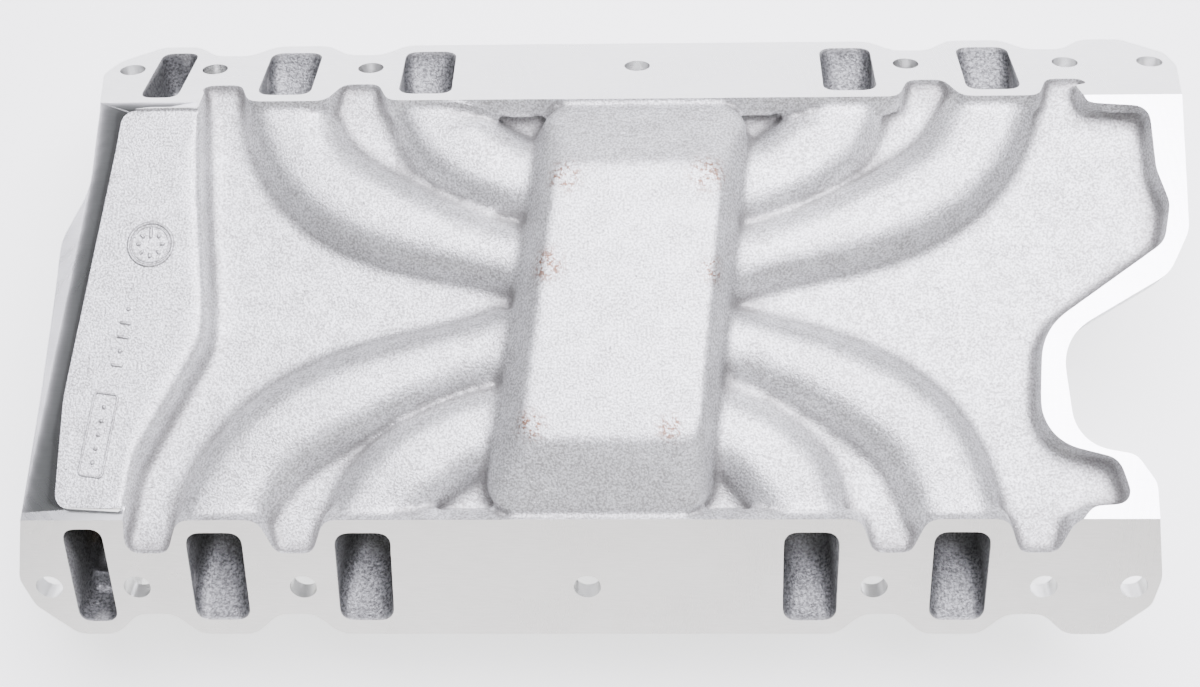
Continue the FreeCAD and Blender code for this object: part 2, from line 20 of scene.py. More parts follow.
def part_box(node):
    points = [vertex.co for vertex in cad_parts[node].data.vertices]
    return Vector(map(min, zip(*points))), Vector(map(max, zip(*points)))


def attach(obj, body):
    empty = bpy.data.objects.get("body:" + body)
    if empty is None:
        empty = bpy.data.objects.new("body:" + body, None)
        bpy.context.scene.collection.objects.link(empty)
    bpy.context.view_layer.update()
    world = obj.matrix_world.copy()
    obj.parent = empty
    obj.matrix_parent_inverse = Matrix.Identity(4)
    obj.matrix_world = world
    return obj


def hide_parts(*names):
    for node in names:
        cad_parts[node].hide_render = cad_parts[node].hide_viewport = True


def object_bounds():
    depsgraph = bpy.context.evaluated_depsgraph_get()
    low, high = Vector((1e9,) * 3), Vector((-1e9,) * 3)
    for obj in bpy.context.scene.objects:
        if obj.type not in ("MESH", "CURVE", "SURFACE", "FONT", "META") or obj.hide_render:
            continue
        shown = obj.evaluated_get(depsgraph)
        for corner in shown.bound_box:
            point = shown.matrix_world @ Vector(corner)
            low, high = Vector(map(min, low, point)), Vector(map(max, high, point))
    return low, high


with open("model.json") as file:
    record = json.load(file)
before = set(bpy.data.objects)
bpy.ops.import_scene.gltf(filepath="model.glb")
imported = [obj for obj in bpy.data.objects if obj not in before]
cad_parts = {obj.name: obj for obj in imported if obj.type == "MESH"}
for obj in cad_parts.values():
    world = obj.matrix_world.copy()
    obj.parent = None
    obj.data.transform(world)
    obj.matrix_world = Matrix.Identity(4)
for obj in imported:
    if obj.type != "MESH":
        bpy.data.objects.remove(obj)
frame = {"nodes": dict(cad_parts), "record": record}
CAD_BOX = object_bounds()
LOG = logging.getLogger("manifold")
MM = 0.001
FACES_ONLY = (False, False, True)


# ---------------------------------------------------------------------------------------------
# Modelling helpers
# ---------------------------------------------------------------------------------------------
def choose(*objects: bpy.types.Object) -> None:
    """Select these objects and nothing else, and make the first one active.

    Args:
        objects: The objects to select.
    """
    bpy.ops.object.select_all(action="DESELECT")
    for item in objects:
        item.select_set(True)
    bpy.context.view_layer.objects.active = objects[0]


def named(name: str) -> bpy.types.Object:
    """Name the active object and its mesh, and apply its place to the mesh.

    Args:
        name: The piece's name.

    Returns:
        The active object.
    """
    piece = bpy.context.view_layer.objects.active
    piece.name = name
    piece.data.name = name
    choose(piece)
    bpy.ops.object.transform_apply(location=True, rotation=True, scale=True)
    return piece


def mesh_copy(source: bpy.types.Object, name: str) -> bpy.types.Object:
    """A new object with its own copy of a mesh, its doubles merged.

    Args:
        source: The object whose mesh is copied.
        name: The copy's name.

    Returns:
        The copy.
    """
    copy = bpy.data.objects.new(name, source.data.copy())
    bpy.context.scene.collection.objects.link(copy)
    copy.data.materials.clear()
    choose(copy)
    bpy.ops.object.mode_set(mode="EDIT")
    bpy.ops.mesh.select_all(action="SELECT")
    bpy.ops.mesh.remove_doubles(threshold=1e-6)
    bpy.ops.object.mode_set(mode="OBJECT")
    return copy


def join(first: bpy.types.Object, others: Iterable[bpy.types.Object]) -> bpy.types.Object:
    """Join objects into the first one.

    Args:
        first: The object that is kept.
        others: The objects that go into it.

    Returns:
        The first object.
    """
    choose(first, *others)
    bpy.ops.object.join()
    return first


def modify(piece: bpy.types.Object, kind: str, **settings) -> None:
    """Add a modifier and apply it.

    Args:
        piece: The object.
        kind: The modifier's type.
        settings: The modifier's properties.
    """
    modifier = piece.modifiers.new(kind.lower(), kind)
    for prop, value in settings.items():
        setattr(modifier, prop, value)
    choose(piece)
    bpy.ops.object.modifier_apply(modifier=modifier.name)


def face_table(mesh: bpy.types.Mesh) -> tuple[np.ndarray, np.ndarray]:
    """The middles and the normals of a mesh's faces.

    Args:
        mesh: The mesh.

    Returns:
        Two arrays of one row per face.
    """
    middles = np.empty(len(mesh.polygons) * 3)
    normals = np.empty(len(mesh.polygons) * 3)
    mesh.polygons.foreach_get("center", middles)
    mesh.polygons.foreach_get("normal", normals)
    return middles.reshape(-1, 3), normals.reshape(-1, 3)


def select_plane(piece: bpy.types.Object, point: Vector, normal: Vector) -> int:
    """Select the faces that lie on a plane and face along its normal.

    Args:
        piece: The object, which is left in edit mode with only those faces selected.
        point: A point of the plane.
        normal: The plane's outward normal.

    Returns:
        How many faces are selected.
    """
    middles, normals = face_table(piece.data)
    heights = (middles - np.array(point)) @ np.array(normal)
    chosen = (np.abs(heights) < 2e-5) & (normals @ np.array(normal) > 0.9995)
    choose(piece)
    bpy.context.tool_settings.mesh_select_mode = FACES_ONLY
    bpy.ops.object.mode_set(mode="EDIT")
    bpy.ops.mesh.select_all(action="DESELECT")
    bpy.ops.object.mode_set(mode="OBJECT")
    piece.data.polygons.foreach_set("select", chosen)
    bpy.ops.object.mode_set(mode="EDIT")
    return int(chosen.sum())


def cylinder(name: str, radius: float, start: Vector, end: Vector,
             sides: int = 64) -> bpy.types.Object:
    """A closed cylinder between two points.

    Args:
        name: Its name.
        radius: Its radius.
        start: The middle of one end.
        end: The middle of the other end.
        sides: How many sides it has.

    Returns:
        The cylinder.
    """
    way = end - start
    bpy.ops.mesh.primitive_cylinder_add(
        vertices=sides, radius=radius, depth=way.length, location=(start + end) / 2,
        rotation=way.to_track_quat("Z", "Y").to_euler())
    return named(name)


def block(name: str, middle: Vector, size: Sequence[float],
          turn: Matrix = Matrix.Identity(3)) -> bpy.types.Object:
    """A closed block.

    Args:
        name: Its name.
        middle: Its middle.
        size: Its three sides.
        turn: Its orientation.

    Returns:
        The block.
    """
    bpy.ops.mesh.primitive_cube_add(size=1.0, location=middle, rotation=turn.to_euler(),
                                    scale=size)
    return named(name)


# ---------------------------------------------------------------------------------------------
# Shader expressions
# ---------------------------------------------------------------------------------------------
@dataclass
class Shade:
    """A socket of a node tree that takes part in arithmetic."""

    tree: bpy.types.NodeTree
    socket: bpy.types.NodeSocket

    def math(self, operation: str, *others: "Shade | float", clamp: bool = False) -> "Shade":
        """Add one Math node.

        Args:
            operation: The node's operation.
            others: The second and third operand.
            clamp: Whether the result is kept between 0 and 1.

        Returns:
            The result.
        """
        node = self.tree.nodes.new("ShaderNodeMath")
        node.operation = operation
        node.use_clamp = clamp
        for slot, value in zip(node.inputs, (self, *others)):
            plug(self.tree, slot, value)
        return Shade(self.tree, node.outputs[0])

    def __add__(self, other: "Shade | float") -> "Shade":
        """Sum."""
        return self.math("ADD", other)

    __radd__ = __add__

    def __mul__(self, other: "Shade | float") -> "Shade":
        """Product."""
        return self.math("MULTIPLY", other)

    __rmul__ = __mul__

    def __sub__(self, other: "Shade | float") -> "Shade":
        """Difference."""
        return self.math("SUBTRACT", other)

    def __rsub__(self, other: float) -> "Shade":
        """Difference from a number."""
        return self.math("MULTIPLY", -1.0) + other

    def over(self, low: float, high: float) -> "Shade":
        """0 below low, 1 above high and smooth between them.

        Args:
            low: Where the rise starts.
            high: Where it ends.

        Returns:
            The share.
        """
        node = self.tree.nodes.new("ShaderNodeMapRange")
        node.interpolation_type = "SMOOTHSTEP"
        node.inputs["From Min"].default_value = low
        node.inputs["From Max"].default_value = high
        plug(self.tree, node.inputs["Value"], self)
        return Shade(self.tree, node.outputs["Result"])


def plug(tree: bpy.types.NodeTree, slot: bpy.types.NodeSocket, value) -> None:
    """Link a shade to a socket, or set the socket's own value.

    Args:
        tree: The node tree.
        slot: The input.
        value: A Shade, a number or a tuple.
    """
    if isinstance(value, Shade):
        tree.links.new(value.socket, slot)
    else:
        slot.default_value = value


@dataclass
class Finish:
    """A material while it is being built."""

    name: str
    material: bpy.types.Material = field(init=False)

    def __post_init__(self) -> None:
        """Make the empty material with its shader."""
        self.material = bpy.data.materials.new(self.name)
        self.material.use_nodes = True
        self.tree = self.material.node_tree
        self.shader = self.tree.nodes["Principled BSDF"]

    def node(self, kind: str, settings: dict | None = None, output: int | str = 0,
             **values) -> Shade:
        """Add a node.

        Args:
            kind: The node's type.
            settings: Its properties.
            output: The output that is returned.
            values: Its inputs by name, with _ for a space.

        Returns:
            The output.
        """
        made = self.tree.nodes.new(kind)
        for prop, value in (settings or {}).items():
            setattr(made, prop, value)
        for name, value in values.items():
            slot = int(name) if name.isdigit() else name.replace("_", " ")
            plug(self.tree, made.inputs[slot], value)
        return Shade(self.tree, made.outputs[output])

    def coordinates(self, scale: Sequence[float] = (1, 1, 1),
                    turn: Sequence[float] = (0, 0, 0)) -> Shade:
        """The object's coordinates, turned and then scaled.

        Args:
            scale: The scale along each axis.
            turn: The rotation in degrees.

        Returns:
            The coordinates.
        """
        place = self.node("ShaderNodeTexCoord", output="Object")
        turned = self.node("ShaderNodeMapping", {"vector_type": "POINT"}, Vector=place,
                           Rotation=tuple(math.radians(angle) for angle in turn))
        return self.node("ShaderNodeMapping", {"vector_type": "POINT"}, Vector=turned,
                         Scale=tuple(scale))

    def noise(self, where: Shade, size: float, detail: float = 2.0,
              rough: float = 0.5) -> Shade:
        """Noise with features about as large as size.

        Args:
            where: The coordinates.
            size: The feature size in metres.
            detail: The number of octaves.
            rough: The strength of the finer octaves.

        Returns:
            The noise, from 0 to 1.
        """
        return self.node("ShaderNodeTexNoise", {"noise_dimensions": "3D"}, Vector=where,
                         Scale=1.0 / size, Detail=detail, Roughness=rough)

    def blend(self, share: Shade, low, high) -> Shade:
        """A mix of two colours.

        Args:
            share: The share of the second.
            low: The first colour, a Shade or four numbers.
            high: The second colour.

        Returns:
            The colour.
        """
        made = self.tree.nodes.new("ShaderNodeMix")
        made.data_type = "RGBA"
        plug(self.tree, made.inputs[0], share)
        plug(self.tree, made.inputs[6], low)
        plug(self.tree, made.inputs[7], high)
        return Shade(self.tree, made.outputs[2])

    def bump(self, height: Shade, depth: float, under: Shade | None = None) -> Shade:
        """A bumped normal.

        Args:
            height: The height from 0 to 1.
            depth: What a height of 1 stands for, in metres.
            under: A normal that this one is laid over.

        Returns:
            The normal.
        """
        values = {"Height": height, "Distance": depth, "Strength": 1.0}
        if under is not None:
            values["Normal"] = under
        return self.node("ShaderNodeBump", **values)

    def surface(self, **values) -> bpy.types.Material:
        """Plug values into the shader.

        Args:
            values: The shader's inputs by name, with _ for a space.

        Returns:
            The finished material.
        """
        for name, value in values.items():
            plug(self.tree, self.shader.inputs[name.replace("_", " ")], value)
        return self.material


def grey(level: float, warmth: float = 0.0) -> tuple[float, float, float, float]:
    """A grey, a little warm or cool.

    Args:
        level: Its brightness.
        warmth: How much red exceeds blue.

    Returns:
        The colour with alpha.
    """
    return (level + warmth / 2, level, level - warmth / 2, 1.0)


@dataclass(frozen=True)
class SandCast:
    """Blasted sand-cast aluminium: light, even and finely pitted; creases and port insides get
    painted shade, convex edges a painted highlight.
    """

    name: str = "sand_cast_aluminium"
    light: float = 0.92
    dark: float = 0.38
    grain: float = 0.85 * MM
    grain_depth: float = 0.26 * MM
    stain: tuple[float, float, float, float] = (0.24, 0.12, 0.07, 1.0)
    spots: tuple[tuple[float, float, float], ...] = (
        (-18, 47, 10), (37, 48, 11), (-24, 12, 10), (-30, -50, 9), (22, -51, 8), (39, 10, 8))

    def build(self) -> bpy.types.Material:
        """Make the material.

        Returns:
            The material.
        """
        mat = Finish(self.name)
        where = mat.coordinates()
        grain = mat.noise(where, self.grain, 3.0, 0.62)
        mottle = mat.noise(where, 9 * MM, 3.0, 0.55)
        pits = mat.noise(where, 2.0 * MM, 1.0).over(0.70, 0.78)
        tone = grain.over(0.38, 0.62) * 0.8 + mottle.over(0.3, 0.7) * 0.2
        colour = mat.blend(tone, grey(self.dark, 0.014), grey(self.light, -0.016))
        hollow = mat.node("ShaderNodeAttribute", {"attribute_name": "hollow"}, output="Fac")
        # Painted shade: creases are darkened towards a dark grey, where shade would fall.
        colour = mat.blend(hollow.over(0.1, 1.0) * 0.62, colour, grey(0.20, 0.02))
        # Painted highlight: convex edges are lightened towards near white.
        colour = mat.blend((0.0 - hollow).over(0.1, 1.0) * 0.25, colour, grey(0.95))
        # Painted shade inside the ports: a dark grey. The coarse grain is the skin's own; the
        # darkness is painted shade.
        port_darkening = mat.node("ShaderNodeAttribute", {"attribute_name": "core_skin"}, output="Fac")
        coarse = mat.noise(where, 1.1 * MM, 3.0, 0.65).over(0.34, 0.66)
        colour = mat.blend(port_darkening, colour, mat.blend(coarse, grey(0.12), grey(0.36, -0.01)))
        colour = mat.blend(self.stains(mat, where) * 0.92, colour, self.stain)
        height = grain + mottle * 0.6 - pits * 0.4
        return mat.surface(Base_Color=colour, Metallic=0.85,
                           Roughness=0.58 - grain * 0.12,
                           Normal=mat.bump(height, self.grain_depth))

    def stains(self, mat: Finish, where: Shade) -> Shade:
        """Where small brown rust specks lie: in spots on the rim of the plenum box.

        Args:
            mat: The material.
            where: The coordinates.

        Returns:
            The mask.
        """
        specks = mat.noise(where, 1.8 * MM, 4.0, 0.75).over(0.50, 0.56)
        mask = 0.0
        for x, y, reach in self.spots:
            away = mat.node("ShaderNodeVectorMath", {"operation": "DISTANCE"}, output="Value",
                            **{"0": where, "1": (x * MM, y * MM, 118 * MM)})
            mask = (1.0 - away.over(reach * 0.3 * MM, reach * MM)) + mask
        return specks * mask.math("MINIMUM", 1.0)


@dataclass(frozen=True)
class Milled:
    """Face-milled aluminium: metallic, with faint tool arcs and fine scratches."""

    name: str = "milled_aluminium"
    light: float = 0.80
    dark: float = 0.70
    rough: float = 0.24
    reach: float = 0.16

    def build(self) -> bpy.types.Material:
        """Make the material.

        Returns:
            The material.
        """
        mat = Finish(self.name)
        where = mat.coordinates()
        off_centre = mat.node("ShaderNodeMapping", {"vector_type": "POINT"}, Vector=where,
                              Location=(self.reach, 0.02, 0.0))
        arcs = mat.node("ShaderNodeTexWave", {"wave_type": "RINGS",
                                              "rings_direction": "SPHERICAL"},
                        Vector=off_centre, Scale=110.0, Distortion=1.5, Detail=2.0,
                        Detail_Scale=3.0)
        streak = mat.noise(mat.coordinates((1, 18, 18), (0, 0, 4)), 9 * MM, 4.0, 0.6)
        cloud = mat.noise(where, 30 * MM, 3.0, 0.5)
        scratch = mat.noise(mat.coordinates((1, 30, 30), (0, 0, 63)), 22 * MM, 3.0, 0.7)
        nick = scratch.over(0.70, 0.74)
        tone = cloud.over(0.3, 0.7) * 0.5 + streak.over(0.3, 0.7) * 0.5
        colour = mat.blend(tone, grey(self.dark, -0.004), grey(self.light, -0.002))
        colour = mat.blend(nick * 0.35, colour, grey(0.5))
        height = arcs * 0.2 + streak * 0.35 - nick * 1.0
        return mat.surface(Base_Color=colour, Metallic=1.0,
                           Roughness=self.rough + cloud * 0.12 - arcs * 0.02,
                           Normal=mat.bump(height, 0.004 * MM))


@dataclass(frozen=True)
class TurnedMetal:
    """A turned fitting: plated steel, brass or bare steel."""

    name: str
    light: tuple[float, float, float]
    dark: tuple[float, float, float]
    rough: float

    def build(self) -> bpy.types.Material:
        """Make the material.

        Returns:
            The material.
        """
        mat = Finish(self.name)
        where = mat.coordinates()
        wear = mat.noise(where, 3 * MM, 4.0, 0.6)
        rings = mat.noise(mat.coordinates((1, 1, 16)), 6 * MM, 2.0)
        colour = mat.blend(wear.over(0.35, 0.7), (*self.dark, 1.0), (*self.light, 1.0))
        return mat.surface(Base_Color=colour, Metallic=1.0,
                           Roughness=self.rough + wear * 0.14,
                           Normal=mat.bump(rings + wear * 0.5, 0.02 * MM))


# ---------------------------------------------------------------------------------------------
# The casting
# ---------------------------------------------------------------------------------------------
@dataclass(frozen=True)
class Hole:
    """A drilled or bored hole, from its mouth inwards."""

    mouth: Vector
    axis: Vector
    radius: float
    depth: float


@dataclass
class Casting:
    """The manifold casting, from blank to machined part."""

    stock: float = 8 * MM
    voxel: float = 1.5 * MM
    triangles: int = 180_000
    land: float = 8 * MM
    fine_passes: int = 4
    deep_passes: int = 22
    panel_height: float = 107.2 * MM
    seat_radius: float = 26 * MM
    crease_passes: int = 8
    sharpest_bend: float = 110.0
    peg_margin: float = 1.2 * MM
    insert_depth: float = 15.5 * MM
    stock_clearance: float = 3.2 * MM
    mill_clearance: float = 0.3 * MM
    rail_skim: float = 0.02 * MM
    tool_depth: float = 20 * MM
    crisp_angle: float = math.radians(38)
    port_half: tuple[float, float] = (12 * MM, 22.5 * MM)
    water_half: tuple[float, float] = (9 * MM, 24 * MM)

    def __post_init__(self) -> None:
        """Read the interfaces from the record."""
        self.node = frame["nodes"]["manifold_casting"]
        mounts = frame["record"]["mounts"]
        self.faces = [(Vector(m["pos_m"]), Vector(m["axis"]).normalized(), m["name"])
                      for m in mounts if m["kind"] == "flat_face"]
        self.bores = [m for m in mounts if m["kind"] == "bore"]
        self.patterns = [m for m in mounts if m["kind"] == "bolt_pattern"]
        self.rail_height = next(point.z for point, _, name in self.faces
                                if name == "front_rail_face")
        self.flange_planes = [(point, normal) for point, normal, name in self.faces
                              if name.endswith("head_face")]

    # ---- holes ------------------------------------------------------------------------------
    def holes(self) -> list[Hole]:
        """Every machined hole, from the record's mounts.

        Returns:
            The holes.
        """
        found = []
        for mount in self.bores:
            axis = Vector(mount["axis"]).normalized()
            length = mount["dims"]["length_mm"] * MM
            mouth = Vector(mount["pos_m"]) + axis * length / 2
            found.append(Hole(mouth, axis, mount["dims"]["r_mm"] * MM, length))
        low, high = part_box("outlet_thread_inserts")
        insert = (high.x - low.x) / 2
        for mount in self.patterns:
            axis = Vector(mount["axis"]).normalized()
            middle = Vector(mount["pos_m"])
            half_x = mount["dims"].get("spacing_x_mm", 0.0) / 2 * MM
            half_y = mount["dims"].get("spacing_y_mm", 0.0) / 2 * MM
            for x in {-half_x, half_x}:
                for y in {-half_y, half_y}:
                    place = middle + Vector((x, y, 0))
                    found.append(Hole(place + axis * MM, axis, insert,
                                      self.insert_depth))
        return found

    def hole_fillers(self) -> list[bpy.types.Object]:
        """Pegs that close the holes of the blank.

        Returns:
            The pegs.
        """
        return [cylinder(f"peg_{number}", hole.radius + self.peg_margin,
                         hole.mouth - hole.axis * hole.depth,
                         hole.mouth + hole.axis * self.stock, 32)
                for number, hole in enumerate(self.holes())]

    # ---- blank ------------------------------------------------------------------------------
    def patch(self, name: str, height: float, thickness: float, outset: float = 0.0,
              drop: float = 1.0 * MM) -> bpy.types.Object:
        """A slab that stands on the casting's level faces of one height.

        Args:
            name: The slab's name.
            height: The height of the faces.
            thickness: The slab's thickness.
            outset: How far it reaches past the faces all round.
            drop: How far below the faces it starts.

        Returns:
            The slab.
        """
        slab = mesh_copy(self.node, name)
        select_plane(slab, Vector((0, 0, height)), Vector((0, 0, 1)))
        bpy.ops.mesh.select_all(action="INVERT")
        bpy.ops.mesh.delete(type="FACE")
        bpy.ops.mesh.select_all(action="SELECT")
        if outset:
            bpy.ops.mesh.dissolve_limited(angle_limit=math.radians(0.5))
            bpy.ops.mesh.inset(thickness=outset, use_outset=True, use_boundary=True,
                               use_even_offset=False)
            bpy.ops.mesh.select_all(action="SELECT")
        bpy.ops.transform.translate(value=(0, 0, -drop))
        bpy.ops.object.mode_set(mode="OBJECT")
        modify(slab, "SOLIDIFY", thickness=thickness, offset=1.0)
        return slab

    def around_panel(self, tool: bpy.types.Object, gap: float) -> bpy.types.Object:
        """Keep a tool clear of the front panel and of the slope behind it.

        Args:
            tool: The tool.
            gap: The clearance round the panel.

        Returns:
            The tool.
        """
        guard = self.patch("panel_guard", self.panel_height, 30 * MM, outset=gap, drop=6 * MM)
        behind = block("behind_panel", Vector((-168 * MM, 0, self.rail_height)),
                       (40 * MM, 0.155, 60 * MM))
        for keep in (guard, behind):
            modify(tool, "BOOLEAN", operation="DIFFERENCE", solver="EXACT", object=keep)
            bpy.data.objects.remove(keep)
        return tool

    def add_stock(self, blank: bpy.types.Object) -> None:
        """Thicken every milled face of the flanges, the pad and the outlet outwards.

        Args:
            blank: The casting's mesh.
        """
        for point, normal, name in self.faces:
            if name.endswith("rail_face"):
                continue
            count = select_plane(blank, point, normal)
            bpy.ops.mesh.extrude_region_move(
                TRANSFORM_OT_translate={"value": normal * self.stock})
            bpy.ops.object.mode_set(mode="OBJECT")
            LOG.info("stock on %s: %d faces", name, count)

    def rough_blank(self) -> bpy.types.Object:
        """The casting with stock, before it is rounded.

        Returns:
            The blank.
        """
        blank = mesh_copy(self.node, "manifold")
        self.add_stock(blank)
        rails = self.patch("rail_stock", self.rail_height, self.stock + 1 * MM)
        return join(blank, [self.around_panel(rails, self.stock_clearance)] + self.hole_fillers())

    def softness(self, points: np.ndarray) -> np.ndarray:
        """How much of the deep rounding a place of the cast skin gets.

        It gets none near the flange planes and on the end rails, and a part on the box's top.

        Args:
            points: The places, one a row.

        Returns:
            Shares from 0 to 1.
        """
        depths = [-(points - np.array(point)) @ np.array(normal)
                  for point, normal in self.flange_planes]
        share = np.clip((np.minimum(*depths) - self.land) / (6 * MM), 0.0, 1.0)
        along, height = points[:, 0], points[:, 2]
        at_end = np.clip(np.maximum(along - 158 * MM, -176 * MM - along) / (8 * MM), 0.0, 1.0)
        at_rail = np.clip((height - 98 * MM) / (3 * MM), 0.0, 1.0)
        on_top = np.clip((height - 108 * MM) / (4 * MM), 0.0, 1.0)
        return share * (1.0 - at_end * at_rail) * (1.0 - 0.6 * on_top)

    def round_off(self, blank: bpy.types.Object) -> None:
        """Turn the blank into one skin and round its edges like a sand casting.

        Args:
            blank: The blank.
        """
        modify(blank, "REMESH", mode="VOXEL", voxel_size=self.voxel, use_smooth_shade=True)
        places = np.empty(len(blank.data.vertices) * 3)
        blank.data.vertices.foreach_get("co", places)
        steps = np.rint(self.softness(places.reshape(-1, 3)) * 5)
        group = blank.vertex_groups.new(name="cast_skin")
        for step in range(1, 6):
            group.add(np.nonzero(steps == step)[0].tolist(), step / 5, "REPLACE")
        modify(blank, "SMOOTH", factor=0.5, iterations=self.fine_passes)
        modify(blank, "SMOOTH", factor=0.5, iterations=self.deep_passes, vertex_group=group.name)
        faces = len(blank.data.polygons)
        modify(blank, "DECIMATE", ratio=min(1.0, self.triangles / (2 * faces)))
        LOG.info("blank: %d faces, thinned to %d", faces, len(blank.data.polygons))

    # ---- machining --------------------------------------------------------------------------
    def face_mills(self) -> list[bpy.types.Object]:
        """Blocks that clear all above the milled planes of the flanges, the pad and the outlet.

        Returns:
            The blocks.
        """
        over = self.stock * 2
        sizes = {"head": (0.6, 0.09, over), "carb": (0.3, 0.3, over), "water": (0.1, 0.12, over)}
        along = Vector((1, 0, 0))
        made = []
        for point, normal, name in self.faces:
            if name.endswith("rail_face"):
                continue
            size = next(size for word, size in sizes.items() if word in name)
            turn = Matrix((along, normal.cross(along), normal)).transposed()
            made.append(block(f"mill_{name}", point + normal * over / 2, size, turn))
        return made

    def rail_mills(self) -> list[bpy.types.Object]:
        """The cutters that face both end rails.

        Returns:
            Two blocks, the front one clear of the panel.
        """
        depth = self.tool_depth
        level = self.rail_height - self.rail_skim + depth / 2
        front = block("mill_front_rail", Vector((-202 * MM, 0, level)), (76 * MM, 0.26, depth))
        rear = block("mill_rear_rail", Vector((190 * MM, 0, level)), (140 * MM, 0.26, depth))
        return [self.around_panel(front, self.mill_clearance), rear]

    def panel_trim(self) -> bpy.types.Object:
        """A block that takes off what stands above the front panel.

        Returns:
            The block.
        """
        depth = self.tool_depth
        middle = Vector((-197 * MM, 0, self.panel_height + self.rail_skim + depth / 2))
        return block("panel_trim", middle, (86 * MM, 0.158, depth))

    def drills(self) -> list[bpy.types.Object]:
        """The drills and the boring bars. A blind seat is cut to its depth, a hole runs on.

        Returns:
            One cylinder a hole.
        """
        made = []
        for number, hole in enumerate(self.holes()):
            past = 0.0 if hole.radius > self.seat_radius else 3 * MM
            made.append(cylinder(f"drill_{number}", hole.radius,
                                 hole.mouth - hole.axis * (hole.depth + past),
                                 hole.mouth + hole.axis * self.stock * 2))
        return made

    def cut(self, piece: bpy.types.Object, cutter: bpy.types.Object,
            finish: bpy.types.Material) -> None:
        """Cut a piece with a closed cutter, whose faces carry the machined finish.

        Args:
            piece: The piece.
            cutter: The cutter, which is deleted.
            finish: The finish of the cut faces.
        """
        cutter.data.materials.clear()
        cutter.data.materials.append(finish)
        before = len(piece.data.polygons)
        modify(piece, "BOOLEAN", operation="DIFFERENCE", solver="EXACT", object=cutter,
               material_mode="TRANSFER")
        bpy.data.objects.remove(cutter)
        LOG.info("cut to %s: %d to %d faces", finish.name, before, len(piece.data.polygons))

    def sharpen(self, casting: bpy.types.Object) -> None:
        """Shade the skin smooth, with a crisp border round every machined face.

        Args:
            casting: The casting, whose second material is the machined finish.
        """
        choose(casting)
        bpy.ops.object.shade_smooth_by_angle(angle=self.crisp_angle)
        bpy.context.tool_settings.mesh_select_mode = FACES_ONLY
        bpy.ops.object.mode_set(mode="EDIT")
        bpy.ops.mesh.select_all(action="DESELECT")
        casting.active_material_index = 1
        bpy.ops.object.material_slot_select()
        bpy.ops.mesh.region_to_loop()
        bpy.ops.mesh.mark_sharp()
        bpy.ops.object.mode_set(mode="OBJECT")

    def store_painted_shade_and_highlight(self, casting: bpy.types.Object) -> None:
        """Store the skin's curvature for painted light: -1 on an edge (painted highlight), 0 flat,
        1 in a crease (painted shade).

        Args:
            casting: The casting, which gets the point attribute of painted shade and highlight.
        """
        mesh = casting.data
        count = len(mesh.vertices)
        places = np.empty(count * 3)
        normals = np.empty(count * 3)
        ends = np.empty(len(mesh.edges) * 2, dtype=np.int64)
        mesh.vertices.foreach_get("co", places)
        mesh.vertices.foreach_get("normal", normals)
        mesh.edges.foreach_get("vertices", ends)
        places, normals, ends = places.reshape(-1, 3), normals.reshape(-1, 3), ends.reshape(-1, 2)
        first, second = ends.T
        step = places[second] - places[first]
        square = np.maximum((step ** 2).sum(axis=1), 1e-9)
        degree = np.maximum(np.bincount(ends.ravel(), minlength=count), 1)

        def around(from_first: np.ndarray, from_second: np.ndarray) -> np.ndarray:
            """The mean over each point's edges of a value for each end of an edge.

            Args:
                from_first: The values that the first ends take.
                from_second: The values that the second ends take.

            Returns:
                One value a point.
            """
            total = np.bincount(first, from_first, count) + np.bincount(second, from_second, count)
            return total / degree

        bend = around(2 * (step * normals[first]).sum(axis=1) / square,
                      -2 * (step * normals[second]).sum(axis=1) / square)
        machined = np.zeros(count, dtype=bool)
        for face in mesh.polygons:
            if face.material_index == 1:
                machined[list(face.vertices)] = True
        bend = np.clip(np.where(machined, 0.0, bend), -400.0, 400.0)
        for _ in range(self.crease_passes):
            bend = np.where(machined, 0.0, 0.4 * bend + 0.6 * around(bend[second], bend[first]))
        # Positive values become painted shade in the cast material, negative ones a painted
        # highlight.
        layer = mesh.attributes.new("hollow", "FLOAT", "POINT")
        layer.data.foreach_set("value", np.clip(bend / self.sharpest_bend, -1.0, 1.0))

    def store_painted_port_shade(self, casting: bpy.types.Object) -> None:
        """Store where the port insides get painted shade: inside the ports, as far as one sees in.

        Args:
            casting: The casting, which gets the point attribute of painted port shade.
        """
        places = np.empty(len(casting.data.vertices) * 3)
        casting.data.vertices.foreach_get("co", places)
        places = places.reshape(-1, 3)
        share = np.zeros(len(places))
        ports = [item for item in frame["record"]["physics"]["openings"] if "port" in item["name"]]
        for port in ports:
            middle = np.array(port["box_m"]).mean(axis=0)
            point, normal = next(plane for plane in self.flange_planes
                                 if plane[1].y * middle[1] > 0)
            inward = -np.array(normal)
            along = np.cross(inward, (1, 0, 0))
            half = self.water_half if "water" in port["name"] else self.port_half
            offset = places - middle
            aside = np.abs(offset[:, 0]) < half[0]
            within = np.abs(offset @ along) < half[1]
            depth = (places - np.array(point)) @ inward
            fade = np.clip(depth / (1.5 * MM), 0, 1) * np.clip((32 * MM - depth) / (10 * MM), 0, 1)
            share = np.maximum(share, fade * aside * within)
        # The material paints the port insides dark by this share, as painted shade.
        layer = casting.data.attributes.new("core_skin", "FLOAT", "POINT")
        layer.data.foreach_set("value", share)

